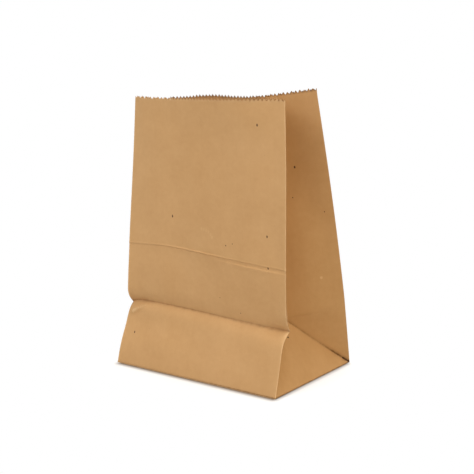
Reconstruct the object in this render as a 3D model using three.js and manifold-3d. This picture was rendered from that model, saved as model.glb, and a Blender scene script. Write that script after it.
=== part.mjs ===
// A brown paper lunch bag, standing open: one folded sheet of kraft paper with a satchel bottom.
// Millimetres, +Z up. The front panel faces -Y, and the origin is on the floor at the middle of the base.
import * as THREE from 'three';
import { mergeVertices } from 'three/addons/utils/BufferGeometryUtils.js';
import Module from 'manifold-3d';

// The tube, measured flat
const panelWidth = 152;    // front and back panels, from corner fold to corner fold
const gussetDepth = 105;   // each side gusset, from corner fold to corner fold
const paper = 0.15;        // one layer of kraft paper

// Rim heights above the floor
const frontRim = 209.5;    // front panel
const backRim = 209.3;     // back panel
const backRimRise = 6.4;   // how much higher the back panel's +X corner is pulled
const gussetRim = 210;     // middle fold of each gusset
const rimBow = 9;          // how far each open panel bows outward at the rim
const bowGrowth = 1.5;     // how late up the bag the bow sets in: 1 is evenly, more is later
const riseGrowth = 1.6;    // how late along the rim the rear corner's rise sets in

// Pinked edge
const toothPitch = 3.2;
const toothDepth = 1.8;

// The foot: the strip of the front panel that was folded up flat, and the fold that tops it
const footTop = 45;        // height of the pinched fold
const footLean = 14;       // degrees, how the foot leans in from its bottom edge
const shoulder = 15;       // height of the rounded stretch under the pinched fold
const shoulderIn = 7.5;    // how much further in that stretch curls
const curlGrowth = 3.2;    // how late in that stretch it does
const bellyOut = 5.2;      // how far the panel swells out again above the pinched fold
const bellyRise = 13;      // the height over which it does
const creaseRise = 3.6;    // how much higher the pinched fold runs between its two ends
const creaseSkew = 0.45;   // where it is highest: 1 is at the middle, less is nearer the -X end
const slump = 4.1;         // how much further in the foot sags at its -X end
const slumpAt = 36;        // the height where it sags most
const slumpBelow = 16;     // how far down and how far up the sag fades
const slumpAbove = 10;

// How the upper bag stands
const frontLean = 2.4;     // degrees, inward
const backLean = 11.3;     // degrees, forward
const backBelly = 2.5;     // how far the back panel swells at half height
const twist = 5.2;         // degrees, how far the rim is turned against the base
const twistStart = 55;     // the height where the turn begins

// Satchel bottom and lengthwise seam
const flapLap = 16;        // how far the two bottom flaps overlap at the middle
const flapSettle = 14;     // beyond the lap, how far the back flap takes to come down to the floor
const foldInset = 0.8;     // how far a flap starts inside the base's edge
const seamFromCorner = 36; // the seam's visible cut edge, from the +X corner of the back panel
const seamWidth = 14;      // the glued lap, and the stretch over which the top layer settles beyond it
const seamStep = 0.1;      // the width of the cut edge's face as drawn
const mostMitre = 2.5;     // how many sheets deep the inner skin may lie at a sharp fold

// Fineness of the surface
const panelColumns = 16;
const halfColumns = 8;     // columns in half a gusset, and rows in the foot
const bellyRows = 5;
const wallRows = 8;

const kraft = new THREE.Color('#bd9263');

const radians = THREE.MathUtils.degToRad;
const lerp = THREE.MathUtils.lerp;
const clamp = THREE.MathUtils.clamp;
const halfWidth = panelWidth / 2;
const halfDepth = gussetDepth / 2;
const baseHeight = 2 * paper; // the base sheet lies on the two bottom flaps

// Height of the pinched fold. side runs -1 to 1 across the panel, and both ends are at footTop.
function creaseAt(side) {
  return footTop + creaseRise * Math.sin(Math.PI * ((1 + side) / 2) ** creaseSkew);
}

// Side outline of the front panel: leaning foot, rounded shoulder, pinched fold, belly, lean.
function frontFace(z) {
  return -halfDepth + footTop * Math.tan(radians(footLean)) + shoulderIn - bellyOut
    + (z - footTop) * Math.tan(radians(frontLean));
}

function slumpIn(z, side) {
  const fade = (z - slumpAt) / (z < slumpAt ? slumpBelow : slumpAbove);
  return slump * Math.exp(-(fade ** 2)) * ((1 - side) / 2) ** 2;
}

function frontY(z, side) {
  const crease = creaseAt(side);
  const foot = -halfDepth + Math.min(z, crease) * Math.tan(radians(footLean));
  if (z <= crease) {
    const curl = clamp((z - crease + shoulder) / shoulder, 0, 1);
    return foot + shoulderIn * curl ** curlGrowth + slumpIn(z, side);
  }
  const sunk = 1 - clamp((z - crease) / bellyRise, 0, 1);
  const pinched = foot + shoulderIn - frontFace(crease);
  return frontFace(z) + pinched * sunk ** 2 + slumpIn(z, side);
}

// The back panel stays unfolded and leans forward in one slightly swollen sweep.
function backY(z) {
  const swell = Math.sin(Math.PI * clamp(z / backRim, 0, 1));
  return halfDepth - z * Math.tan(radians(backLean)) + backBelly * swell;
}

// The panels bow more towards the open rim.
function bowAt(z) {
  const share = clamp((z - footTop) / (frontRim - footTop), 0, 1);
  return rimBow * share ** bowGrowth;
}

// A flat arc of rise b over a chord c is 8/3 b^2/c longer than it, so the corner folds draw together.
function cornerX(z) {
  const longer = (8 / 3) * bowAt(z) ** 2 / panelWidth;
  return halfWidth - longer / 2;
}

// A gusset keeps its width on the paper, so the nearer its two corner folds, the deeper its middle fold.
function foldDepth(z) {
  const spread = (backY(z) - frontFace(z)) / 2;
  return Math.sqrt(Math.max(halfDepth ** 2 - spread ** 2, 1));
}

function middleFold(z) {
  return new THREE.Vector3(cornerX(z) - foldDepth(z), (frontFace(z) + backY(z)) / 2, z);
}

// The point where the middle fold ends and two folds run down to the base's corners.
const apexIn = foldDepth(footTop);
const apexZ = Math.sqrt(halfDepth ** 2 - apexIn ** 2);
const apex = new THREE.Vector3(halfWidth - apexIn, middleFold(apexZ).y, apexZ);

function frontCorner(z, side = 1) {
  return new THREE.Vector3(cornerX(z), frontY(z, side), z);
}

function backCorner(z) {
  return new THREE.Vector3(cornerX(z), backY(z), z);
}

// One half of a gusset in the foot zone. up runs 0 to 1 from base to pinched fold, and along runs
// 0 to 1 from the corner fold to the middle. Below the diagonal it is the base triangle.
function footGusset(corner, up, along) {
  const foot = corner(baseHeight);
  const middle = new THREE.Vector3(foot.x, 0, baseHeight);
  if (along > up) {
    const rise = apex.clone().sub(middle).multiplyScalar(up);
    return foot.clone().lerp(middle, along).add(rise);
  }
  const edge = corner(lerp(baseHeight, footTop, up));
  if (up === 0) return edge;
  const diagonal = foot.clone().lerp(apex, up);
  return edge.lerp(diagonal, along / up);
}

// One half of a gusset above the foot, straight from its corner fold to the middle fold.
function wallGusset(corner, cornerTop, up, along) {
  const edge = corner(lerp(footTop, cornerTop, up));
  const inner = up === 0 ? apex.clone() : middleFold(lerp(apexZ, gussetRim, up));
  return edge.lerp(inner, along);
}

// Turns the upper bag a little against its base.
function turned(point) {
  const share = Math.max(point.z - twistStart, 0) / (frontRim - twistStart);
  point.y -= point.x * Math.tan(radians(twist)) * share;
  return point;
}

// A point of a front or back panel. outward is -1 for the front.
function panelPoint(corner, z, side, outward) {
  const point = corner(z, side);
  point.x *= side;
  point.y += outward * bowAt(z) * (1 - side ** 2);
  return point;
}

// The back panel's rim climbs towards its +X corner.
function backTop(side) {
  return backRim + backRimRise * Math.max(side, 0) ** riseGrowth;
}

// A row of the wall: its share of the way up the foot, or of the way from the pinched fold to the rim.
function level(inFoot, up) {
  return { inFoot, up };
}

// A point on the wall. station runs round the bag, anticlockwise from above, from the front panel's
// -X corner: 0 front, 1 and 2 the halves of the +X gusset, 3 back, 4 and 5 the halves of the -X gusset.
function wallPoint(station, { inFoot, up }) {
  const leg = Math.floor(station) % 6;
  const share = station - Math.floor(station);
  const heightAt = (top, crease) => (inFoot ? lerp(baseHeight, crease, up) : lerp(crease, top, up));
  const gusset = (corner, top, along) => (inFoot
    ? footGusset(corner, up, along)
    : wallGusset(corner, top, up, along));
  const mirrored = (point) => point.setX(-point.x);
  const leftFront = (z) => frontCorner(z, -1);
  const side = 2 * share - 1;
  const legs = [
    () => panelPoint(frontCorner, heightAt(frontRim, creaseAt(side)), side, -1),
    () => gusset(frontCorner, frontRim, share),
    () => gusset(backCorner, backTop(1), 1 - share),
    () => panelPoint(backCorner, heightAt(backTop(-side), footTop), -side, 1),
    () => mirrored(gusset(backCorner, backTop(-1), share)),
    () => mirrored(gusset(leftFront, frontRim, 1 - share)),
  ];
  return turned(legs[leg]());
}

// The lap of the lengthwise seam: a second layer from the cut edge on, settling back beyond the lap.
const seamCut = 3 + seamFromCorner / panelWidth;
const seamShare = seamWidth / panelWidth;

function seamLift(station) {
  if (station < seamCut) return 0;
  return paper * clamp(2 - (station - seamCut) / seamShare, 0, 1);
}

// Shares of the height above the pinched fold at which the rows lie, closer together in the belly.
const bellyShare = bellyRise / (frontRim - footTop);
const wallShares = [];
for (let i = 1; i <= bellyRows; i++) wallShares.push(bellyShare * i / bellyRows);
for (let i = 1; i < wallRows; i++) wallShares.push(lerp(bellyShare, 1, i / wallRows));
const levels = [];
for (let i = 0; i <= halfColumns; i++) levels.push(level(true, i / halfColumns));
wallShares.forEach((share) => levels.push(level(false, share)));

// Stations of the columns: even ones, and those that the seam needs. The front and back panels share
// the same columns, so that the base sheet joins them line to line.
const seamStations = [seamCut - seamStep / panelWidth, seamCut, seamCut + seamShare, seamCut + 2 * seamShare];
const panelShares = seamStations.map((station) => 4 - station);
for (let i = 0; i <= panelColumns; i++) panelShares.push(i / panelColumns);
panelShares.sort((a, b) => a - b);
const tooNear = 1e-4;
const shares = panelShares.filter((share, i) => i === 0 || share - panelShares[i - 1] > tooNear);
const backShares = shares.map((share) => 1 - share).reverse();
const halfShares = [];
for (let i = 0; i <= halfColumns; i++) halfShares.push(i / halfColumns);
const legShares = [shares, halfShares, halfShares, backShares, halfShares, halfShares];
const stations = legShares.flatMap((list, leg) => list.slice(0, -1).map((share) => leg + share));

// The pinked edge: teeth of even pitch in each leg, with their points up and their notches cut below.
const rimStations = [panelWidth, halfDepth, halfDepth, panelWidth, halfDepth, halfDepth].flatMap((length, leg) => {
  const teeth = Math.max(1, Math.round(length / toothPitch));
  return Array.from({ length: 2 * teeth }, (_, i) => leg + i / (2 * teeth));
});

// The wall's outer skin as one indexed surface: rows of the tube, the pinked rim and the base sheet.
const vertices = [];
const lifts = [];
const faces = [];

function addVertex(point, lift = 0) {
  lifts.push(lift);
  return vertices.push(point) - 1;
}

function addQuad(a, b, c, d, acrossBd) {
  if (acrossBd) faces.push([a, b, d], [b, c, d]);
  else faces.push([a, b, c], [a, c, d]);
}

const rows = levels.map((row) => stations.map((station) => addVertex(wallPoint(station, row), seamLift(station))));
const loop = stations.length;
for (let row = 0; row + 1 < rows.length; row++) {
  for (let column = 0; column < loop; column++) {
    const next = (column + 1) % loop;
    const [low, high] = [rows[row], rows[row + 1]];
    // The foot's gussets are split along their two diagonal folds.
    const fallingFold = [2, 5].includes(Math.floor(stations[column]));
    addQuad(low[column], low[next], high[next], high[column], fallingFold);
  }
}

// The strip's upper edge: notches on the even places, the teeth's points on the odd ones.
const notch = 1 - toothDepth / (frontRim - footTop);
const rim = rimStations.map((station, index) => {
  const point = wallPoint(station, level(false, index % 2 ? 1 : notch));
  return addVertex(point, seamLift(station));
});

// The strip between the last even row and the teeth takes whichever side's next station comes first.
const low = [...rows.at(-1), rows.at(-1)[0]];
const high = [...rim, rim[0]];
const lowStations = [...stations, 6];
const highStations = [...rimStations, 6];
let i = 0;
let j = 0;
while (i < low.length - 1 || j < high.length - 1) {
  const stepLow = j === high.length - 1 || (i < low.length - 1 && lowStations[i + 1] <= highStations[j + 1]);
  if (stepLow) faces.push([low[i], low[i + 1], high[j]]);
  else faces.push([low[i], high[j + 1], high[j]]);
  if (stepLow) i += 1;
  else j += 1;
}

// The base sheet fills the bottom row, line by line from the front edge to the back edge.
const lastLine = shares.length - 1;
const lastCross = 2 * halfColumns;
const rightStart = lastLine;
const backStart = rightStart + lastCross;
const baseGrid = shares.map((share, line) => Array.from({ length: lastCross + 1 }, (_, cross) => {
  if (cross === 0) return rows[0][line];
  if (cross === lastCross) return rows[0][backStart + lastLine - line];
  if (line === lastLine) return rows[0][rightStart + cross];
  if (line === 0) return rows[0][loop - cross];
  const x = lerp(-halfWidth, halfWidth, share);
  const y = lerp(frontY(baseHeight, 2 * share - 1), backY(baseHeight), cross / lastCross);
  return addVertex(new THREE.Vector3(x, y, baseHeight));
}));
for (let line = 0; line < lastLine; line++) {
  for (let cross = 0; cross < lastCross; cross++) {
    const [here, there] = [baseGrid[line], baseGrid[line + 1]];
    addQuad(here[cross], here[cross + 1], there[cross + 1], there[cross], false);
  }
}

// The inner skin lies one sheet inside the outer one, measured square to every face that meets at a point.
function insetPoints() {
  const normals = faces.map(([a, b, c]) => new THREE.Triangle(vertices[a], vertices[b], vertices[c])
    .getNormal(new THREE.Vector3()));
  const around = vertices.map(() => []);
  faces.forEach((face, index) => face.forEach((vertex, corner) => {
    const [p, q, r] = [0, 1, 2].map((step) => vertices[face[(corner + step) % 3]]);
    around[vertex].push({ normal: normals[index], angle: q.clone().sub(p).angleTo(r.clone().sub(p)) });
  }));
  return vertices.map((point, index) => {
    const mean = new THREE.Vector3();
    around[index].forEach(({ normal, angle }) => mean.addScaledVector(normal, angle));
    mean.normalize();
    let weight = 0;
    let facing = 0;
    around[index].forEach(({ normal, angle }) => {
      weight += angle;
      facing += angle * normal.dot(mean);
    });
    return point.clone().addScaledVector(mean, -paper * Math.min(weight / facing, mostMitre));
  });
}

function solidFrom(points, triangles) {
  const geometry = new THREE.BufferGeometry();
  geometry.setAttribute('position', new THREE.Float32BufferAttribute(points.flatMap((p) => p.toArray()), 3));
  geometry.setIndex(triangles.flat());
  return asManifold(geometry);
}

function asManifold(geometry) {
  const bare = geometry.clone();
  bare.deleteAttribute('normal');
  bare.deleteAttribute('uv');
  const merged = mergeVertices(bare, 1e-5);
  const mesh = new wasm.Mesh({
    numProp: 3,
    vertProperties: merged.attributes.position.array,
    triVerts: Uint32Array.from(merged.index.array),
  });
  return new wasm.Manifold(mesh);
}

const wasm = await Module();
wasm.setup();

// The shell: outer skin, inner skin turned inside out, and the cut edge of the paper along the teeth.
const inner = insetPoints();
const outer = vertices.map((point, index) => point.clone().setY(point.y + lifts[index]));
const shift = vertices.length;
const shellFaces = [...faces, ...faces.map(([a, b, c]) => [a + shift, c + shift, b + shift])];
rim.forEach((here, index) => {
  const next = rim[(index + 1) % rim.length];
  shellFaces.push([here, next, next + shift], [here, next + shift, here + shift]);
});
const shell = solidFrom([...outer, ...inner], shellFaces);

// A bottom flap: a trapezoid from one long edge of the base past the middle, with 45 degree ends.
// outward is -1 for the front flap, which is glued on last and lies lowest.
const flapTop = baseHeight + paper / 2;
const lapEdge = flapLap / 2;

function bottomFlap(outward) {
  const edge = halfDepth - foldInset;
  const reach = edge + lapEdge;
  const long = halfWidth - 2 * foldInset;
  const flap = new THREE.Shape();
  flap.moveTo(-long, outward * edge);
  flap.lineTo(long, outward * edge);
  flap.lineTo(long - reach, -outward * lapEdge);
  flap.lineTo(-long + reach, -outward * lapEdge);
  flap.closePath();
  return asManifold(new THREE.ExtrudeGeometry(flap, { depth: flapTop, bevelEnabled: false }));
}

// The back flap's section, seen from +X: it lies over the front flap and then comes down to the floor.
function settledSection() {
  const section = new THREE.Shape();
  section.moveTo(-lapEdge, paper);
  section.lineTo(lapEdge, paper);
  section.lineTo(lapEdge + flapSettle, 0);
  section.lineTo(halfDepth, 0);
  section.lineTo(halfDepth, flapTop);
  section.lineTo(-lapEdge, flapTop);
  section.closePath();
  const geometry = new THREE.ExtrudeGeometry(section, { depth: panelWidth, bevelEnabled: false });
  const alongX = new THREE.Matrix4().makeBasis(
    new THREE.Vector3(0, 1, 0),
    new THREE.Vector3(0, 0, 1),
    new THREE.Vector3(1, 0, 0),
  );
  geometry.applyMatrix4(alongX);
  geometry.translate(-halfWidth, 0, 0);
  return asManifold(geometry);
}

const bag = shell
  .add(bottomFlap(1).intersect(settledSection()))
  .add(bottomFlap(-1));

function toGeometry(solid) {
  const { vertProperties, triVerts } = solid.getMesh();
  const geometry = new THREE.BufferGeometry();
  geometry.setAttribute('position', new THREE.Float32BufferAttribute(vertProperties, 3));
  geometry.setIndex(new THREE.Uint32BufferAttribute(triVerts, 1));
  geometry.computeVertexNormals();
  return geometry;
}

const paperBag = new THREE.Mesh(
  toGeometry(bag),
  new THREE.MeshStandardMaterial({ color: kraft, roughness: 0.85, metalness: 0 }),
);
paperBag.name = 'paper_bag';

const group = new THREE.Group();
group.add(paperBag);
export default group;
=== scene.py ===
import bpy
import numpy as np
from mathutils import Matrix, Vector


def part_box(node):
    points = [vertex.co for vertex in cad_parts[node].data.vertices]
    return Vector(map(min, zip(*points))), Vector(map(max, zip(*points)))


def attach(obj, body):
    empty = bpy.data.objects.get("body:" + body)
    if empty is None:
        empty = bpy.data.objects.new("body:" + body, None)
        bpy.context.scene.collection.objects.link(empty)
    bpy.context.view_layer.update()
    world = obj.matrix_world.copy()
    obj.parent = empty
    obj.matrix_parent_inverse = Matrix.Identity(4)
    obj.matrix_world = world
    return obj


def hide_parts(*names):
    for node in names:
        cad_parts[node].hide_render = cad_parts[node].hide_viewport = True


# A brown paper lunch bag: one folded sheet with pinked rim, side gussets, creased foot and satchel bottom.
# Metres, +Z up, front panel towards -Y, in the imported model's own frame.
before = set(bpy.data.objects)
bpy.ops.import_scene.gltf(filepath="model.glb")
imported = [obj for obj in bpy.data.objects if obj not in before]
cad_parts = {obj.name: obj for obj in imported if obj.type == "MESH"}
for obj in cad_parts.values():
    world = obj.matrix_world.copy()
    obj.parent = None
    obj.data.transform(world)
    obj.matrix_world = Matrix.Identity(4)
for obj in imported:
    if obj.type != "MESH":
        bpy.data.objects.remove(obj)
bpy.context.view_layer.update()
bagLow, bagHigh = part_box("paper_bag")
print("frame loaded")

# The bag's driving sizes
bag = {
    "panelWidth": bagHigh[0] - bagLow[0],
    "gussetDepth": 0.105,
    "paper": 0.00015,
    "frontRim": 0.2095,
    "frontRimRise": 0.0012,  # the front rim's left end stands a little higher
    "backRim": 0.2102,
    "backRimRise": 0.0064,  # the raised rear corner
    "gussetRimRight": 0.2102,
    "gussetRimLeft": 0.2080,
    "backRimDip": 0.0011,  # the back rim's left end stands a little lower
    "backRimBump": 0.0012,  # and beside it the rim bulges up
    "backRimBumpAt": -0.5,  # in shares of half a panel
    "backRimBumpReach": 0.4,
    "rimBow": 0.009,
    "bowGrowth": 1.5,
    "riseGrowth": 1.6,
    "footTop": 0.045,  # the pinched fold's height at its two ends
    "footLean": 14,  # degrees
    "shoulder": 0.015,
    "shoulderIn": 0.0075,
    "curlGrowth": 3.2,
    "bellyOut": 0.0052,
    "bellyRise": 0.013,
    "bellySpread": 0.5,  # in the panel's middle, the share of the swell that runs up to bellyReach
    "bellyReach": 0.095,
    "bellyFade": 1.2,
    "pinchEase": 0.0032,  # how much shallower the pinch is in the panel's middle
    "creaseRise": 0.0043,
    "creaseSkew": 0.45,
    "slump": 0.0041,  # the sag of the foot's left end
    "slumpAt": 0.036,
    "slumpBelow": 0.016,
    "slumpAbove": 0.010,
    "frontLean": 2.4,
    "backLean": 11.3,
    "backBelly": 0.0025,
    "twist": 5.2,
    "twistStart": 0.055,
    "sway": 0.0005,  # the front panel stands out a little low down and in a little high up
    "gussetBlend": 0.08,  # the share of the wall over which the middle fold bends away from the apex
}
halfWidth = bag["panelWidth"] / 2
halfDepth = bag["gussetDepth"] / 2
paper = bag["paper"]
baseHeight = 2 * paper  # the base sheet lies on the two bottom flaps
footRun = np.tan(np.radians(bag["footLean"]))


def lerp(a, b, t):
    return a + (b - a) * t


def smooth(x):  # 0 to 1 with level ends
    x = np.clip(x, 0, 1)
    return x * x * (3 - 2 * x)


def climb(x, start, run):
    return smooth((x - start) / run)


def swell(x):  # a rounded rise, 1 at 0 and gone at -1 and 1
    return np.clip(1 - x * x, 0, 1) ** 2


def bellAt(distance, reach):
    return np.exp(-(distance / reach) ** 2)


def creaseAt(side):  # the pinched fold's height: a skewed sine over the panel, side from -1 to 1
    return bag["footTop"] + bag["creaseRise"] * np.sin(np.pi * ((1 + side) / 2) ** bag["creaseSkew"])


def frontFace(z):  # the flat of the front panel, leaning in on a straight line with one sine wave of sway
    start = bag["footTop"] * footRun + bag["shoulderIn"] - bag["bellyOut"] - halfDepth
    sway = bag["sway"] * np.sin(2 * np.pi * (z - bag["footTop"]) / (bag["frontRim"] - bag["footTop"]))
    return start + (z - bag["footTop"]) * np.tan(np.radians(bag["frontLean"])) - sway


def slumpIn(z, side):  # a two-sided bell over the height, fading along the panel as a square
    reach = np.where(z < bag["slumpAt"], bag["slumpBelow"], bag["slumpAbove"])
    return bag["slump"] * bellAt(z - bag["slumpAt"], reach) * ((1 - side) / 2) ** 2


def frontY(z, side):  # leaning foot, shoulder curling in as a power, pinch, belly as a parabola and a power, lean
    crease = creaseAt(side)
    foot = -halfDepth + np.minimum(z, crease) * footRun
    curl = np.clip((z - crease + bag["shoulder"]) / bag["shoulder"], 0, 1)
    pinchIn = bag["shoulderIn"] - bag["pinchEase"] * (1 - side ** 4)
    near = 1 - np.clip((z - crease) / bag["bellyRise"], 0, 1)
    far = 1 - np.clip((z - crease) / (bag["bellyReach"] - crease), 0, 1)
    sunk = lerp(near ** 2, far ** bag["bellyFade"], bag["bellySpread"] * (1 - side ** 2))
    above = frontFace(z) + (foot + pinchIn - frontFace(crease)) * sunk
    below = foot + pinchIn * curl ** bag["curlGrowth"]
    return np.where(z <= crease, below, above) + slumpIn(z, side)


def backY(z):  # a forward lean with half a sine of belly
    belly = bag["backBelly"] * np.sin(np.pi * np.clip(z / bag["backRim"], 0, 1))
    return halfDepth - z * np.tan(np.radians(bag["backLean"])) + belly


def frontTop(side):  # the front rim climbs to its -X corner as a square
    return bag["frontRim"] + bag["frontRimRise"] * np.maximum(-side, 0) ** 2


def backTop(side):  # the back rim climbs to its +X corner as a power, bulges, and dips to -X as a square
    rise = bag["backRimRise"] * np.maximum(side, 0) ** bag["riseGrowth"]
    dip = bag["backRimDip"] * np.maximum(-side, 0) ** 2
    bump = bag["backRimBump"] * swell((side - bag["backRimBumpAt"]) / bag["backRimBumpReach"])
    return bag["backRim"] + rise - dip + bump


def bowAt(z):  # how far an open panel bows out, a power of the height
    share = np.clip((z - bag["footTop"]) / (bag["frontRim"] - bag["footTop"]), 0, 1)
    return bag["rimBow"] * share ** bag["bowGrowth"]


def cornerX(z):  # a flat arc of rise b on chord c is 8/3 b*b/c longer, so the corner folds draw together
    return halfWidth - (4 / 3) * bowAt(z) ** 2 / bag["panelWidth"]


def foldDepth(z):  # half a gusset keeps its width, so its depth is the other leg of a right triangle
    spread = (backY(z) - frontFace(z)) / 2
    return np.sqrt(np.maximum(halfDepth ** 2 - spread ** 2, 1e-6))


def middleFold(z):
    return np.stack([cornerX(z) - foldDepth(z), (frontFace(z) + backY(z)) / 2, z], -1)


apexIn = foldDepth(bag["footTop"])
apexZ = np.sqrt(halfDepth ** 2 - apexIn ** 2)
apex = np.array([halfWidth - apexIn, middleFold(apexZ)[1], apexZ])  # where the gusset's folds meet


def cornerFold(front, side, z):
    return np.stack([cornerX(z), frontY(z, side) if front else backY(z), z], -1)


def footGusset(front, side, up, along):  # two ruled triangles that meet on the diagonal along = up
    foot = cornerFold(front, side, np.array(baseHeight))
    middle = np.array([foot[0], 0, baseHeight])
    edge = cornerFold(front, side, lerp(baseHeight, bag["footTop"], up))
    up, along = up[..., None], along[..., None]
    low = foot + (middle - foot) * along + (apex - middle) * up
    high = lerp(edge, foot + (apex - foot) * up, along / np.maximum(up, 1e-6))
    return np.where(along > up, low, high)


def wallGusset(front, side, top, up, along):  # straight lines from the corner fold to the middle fold
    edge = cornerFold(front, side, lerp(bag["footTop"], top, up))
    innerTop = bag["gussetRimRight"] if side > 0 else bag["gussetRimLeft"]
    inner = lerp(apex, middleFold(lerp(apexZ, innerTop, up)), smooth(up / bag["gussetBlend"])[..., None])
    return lerp(edge, inner, along[..., None])


# Legs run round the bag, anticlockwise from above, from the front panel's left corner:
# 0 front, 1 and 2 the halves of the right gusset, 3 back, 4 and 5 the halves of the left one.
legLengths = np.array([bag["panelWidth"], halfDepth, halfDepth] * 2)


def legPoints(leg, inFoot, share, up):  # one leg as a surface of its share along and its level up
    share, up = np.broadcast_arrays(share, up)
    if leg in (0, 3):
        side = 2 * share - 1 if leg == 0 else 1 - 2 * share
        crease = creaseAt(side) if leg == 0 else bag["footTop"]
        top = frontTop(side) if leg == 0 else backTop(side)
        z = lerp(baseHeight, crease, up) if inFoot else lerp(crease, top, up)
        bow = bowAt(z) * (1 - side ** 2)
        y = frontY(z, side) - bow if leg == 0 else backY(z) + bow
        return np.stack([cornerX(z) * side, y, z], -1)
    front, side = leg in (1, 5), 1 if leg < 3 else -1
    along = share if leg in (1, 4) else 1 - share
    if inFoot:
        points = footGusset(front, side, up, along)
    else:
        points = wallGusset(front, side, frontTop(side) if front else backTop(side), up, along)
    return points * np.array([side, 1, 1])


# Fineness of the sheet's surface, and its folds
weave = {
    "besideFold": np.array([0.00025, 0.0006, 0.00105]),  # columns and rows next to a fold
    # Rows of the wall, as from, to and step: over the belly, above it, over the imprint, up to the rim
    "rows": [
        (0.047, 0.060, 0.0010),
        (0.0615, 0.0845, 0.0023),
        (0.0855, 0.0985, 0.0005),
        (0.101, 0.2015, 0.0040),
    ],
    "belowNotches": np.array([0.0048, 0.0026, 0.0008]),
    "rings": np.array([0.97, 0.9, 0.75, 0.6, 0.45, 0.3, 0.18, 0.09, 0.04, 0.02, 0.0105, 0.004]),
    "foldRadius": 0.0007,
    "foldPasses": 2,
    "sharpFrom": 32,  # degrees
}
rim = {
    "toothPitch": 0.0032,
    "toothDepth": 0.0021,
    "unevenTeeth": 0.22,  # share of a tooth's depth
    "curl": 0.0003,  # how far single teeth stand in or out
}
seam = {
    "fromCorner": 0.036,
    "width": 0.014,
    "step": 0.0001,
    "ripple": 0.00008,  # the glued lap cockles
    "rippleReach": 0.012,
}
seamCut = seam["fromCorner"] / bag["panelWidth"]
seamEnd = seamCut + seam["width"] / bag["panelWidth"]


def legShares(length, extra=()):  # two columns for each tooth, and more beside the folds
    teeth = max(1, round(length / rim["toothPitch"]))
    near = weave["besideFold"] / length
    shares = np.concatenate([np.arange(2 * teeth) / (2 * teeth), near, 1 - near, extra])
    return np.unique(np.round(shares, 7))


seamStep = seam["step"] / bag["panelWidth"]
seamShares = np.array([seamCut - seamStep, seamCut, seamEnd - seamStep, seamEnd, 2 * seamEnd - seamCut])
extraShares = {0: 1 - seamShares, 3: seamShares}  # the seam's columns, and the front panel's opposite them
sharesByLeg = [legShares(length, extraShares.get(leg, ())) for leg, length in enumerate(legLengths)]
columnLeg = np.concatenate([np.full(len(s), leg) for leg, s in enumerate(sharesByLeg)])
columnShare = np.concatenate(sharesByLeg)
columnCount = len(columnShare)
legStart = np.concatenate([[0], np.cumsum(legLengths)])
girth = legStart[-1]
aroundAt = legStart[columnLeg] + columnShare * legLengths[columnLeg]
foldAt = np.minimum(columnShare, 1 - columnShare) * legLengths[columnLeg]  # distance to the nearest fold

footUps = np.append(sharesByLeg[1], 1)  # the same list, so that the diagonal folds run through the grid's points
wallHigh = bag["frontRim"] - bag["footTop"]
wallHeights = np.concatenate([
    bag["footTop"] + weave["besideFold"],
    *(np.arange(*stretch) for stretch in weave["rows"]),
    bag["frontRim"] - rim["toothDepth"] - weave["belowNotches"],
])
wallUps = (wallHeights - bag["footTop"]) / wallHigh


def toothWave(share, length):  # a zigzag: 1 at a tooth's point, as at every fold, and 0 in a notch
    teeth = max(1, round(length / rim["toothPitch"]))
    return np.abs(2 * (share * teeth % 1) - 1)


toothShare = np.concatenate([toothWave(s, legLengths[leg]) for leg, s in enumerate(sharesByLeg)])
uneven = 1 - rim["unevenTeeth"] * np.random.default_rng(31).random(columnCount)
rimLevel = 1 - rim["toothDepth"] * (1 - toothShare * uneven) / wallHigh  # the top row dips into the notches


def rowsRound(inFoot, ups):  # rows of points round the bag; a row has one level, or one for each column
    ups = np.broadcast_to(ups, (len(ups), columnCount))
    return np.concatenate([
        legPoints(leg, inFoot, columnShare[None, columnLeg == leg], ups[:, columnLeg == leg])
        for leg in range(len(legLengths))
    ], axis=1)


def wholeTube():  # the sheet's outer face: rings of the base, rows of the foot, rows of the wall, rim
    foot = rowsRound(True, footUps[:, None])
    wall = rowsRound(False, wallUps[:, None])
    top = rowsRound(False, rimLevel[None, :])
    inset = weave["rings"][:, None] * halfDepth  # nested rectangles, so their corners run on the diagonals
    base = np.stack([
        foot[0, :, 0] * (1 - inset / halfWidth),
        foot[0, :, 1] * (1 - inset / halfDepth),
        np.full((len(inset), columnCount), baseHeight),
    ], -1)
    return np.concatenate([base, foot, wall, top])


ringCount = len(weave["rings"])
tube = wholeTube()
rowCount = len(tube)
nominalZ = np.concatenate([
    -weave["rings"] * halfDepth,
    lerp(baseHeight, bag["footTop"], footUps),
    wallHeights,
    [bag["frontRim"]],
])


def turned(points):  # the upper bag turns a little against its base
    share = np.maximum(points[..., 2] - bag["twistStart"], 0) / (bag["frontRim"] - bag["twistStart"])
    points[..., 1] -= points[..., 0] * np.tan(np.radians(bag["twist"])) * share
    return points


def roundFolds(points):  # points beside a fold move towards the mean of their neighbours
    beside = bellAt(foldAt, weave["foldRadius"])[None, :, None]
    bottom = bellAt(nominalZ, weave["foldRadius"])[:, None, None]
    for _ in range(weave["foldPasses"]):
        mean = (np.roll(points, 1, axis=1) + np.roll(points, -1, axis=1)) / 2
        points = lerp(points, mean, 0.5 * beside)
        mean = points.copy()
        mean[1:-1] = (points[2:] + points[:-2]) / 2
        points = lerp(points, mean, 0.5 * bottom)
    return points


def gridNormals(points):  # cross product of the two directions of the grid
    acrossWay = np.roll(points, -1, axis=1) - np.roll(points, 1, axis=1)
    upWay = np.gradient(points, axis=0)
    normal = np.cross(acrossWay, upWay)
    return normal / np.maximum(np.linalg.norm(normal, axis=-1, keepdims=True), 1e-12)


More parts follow.
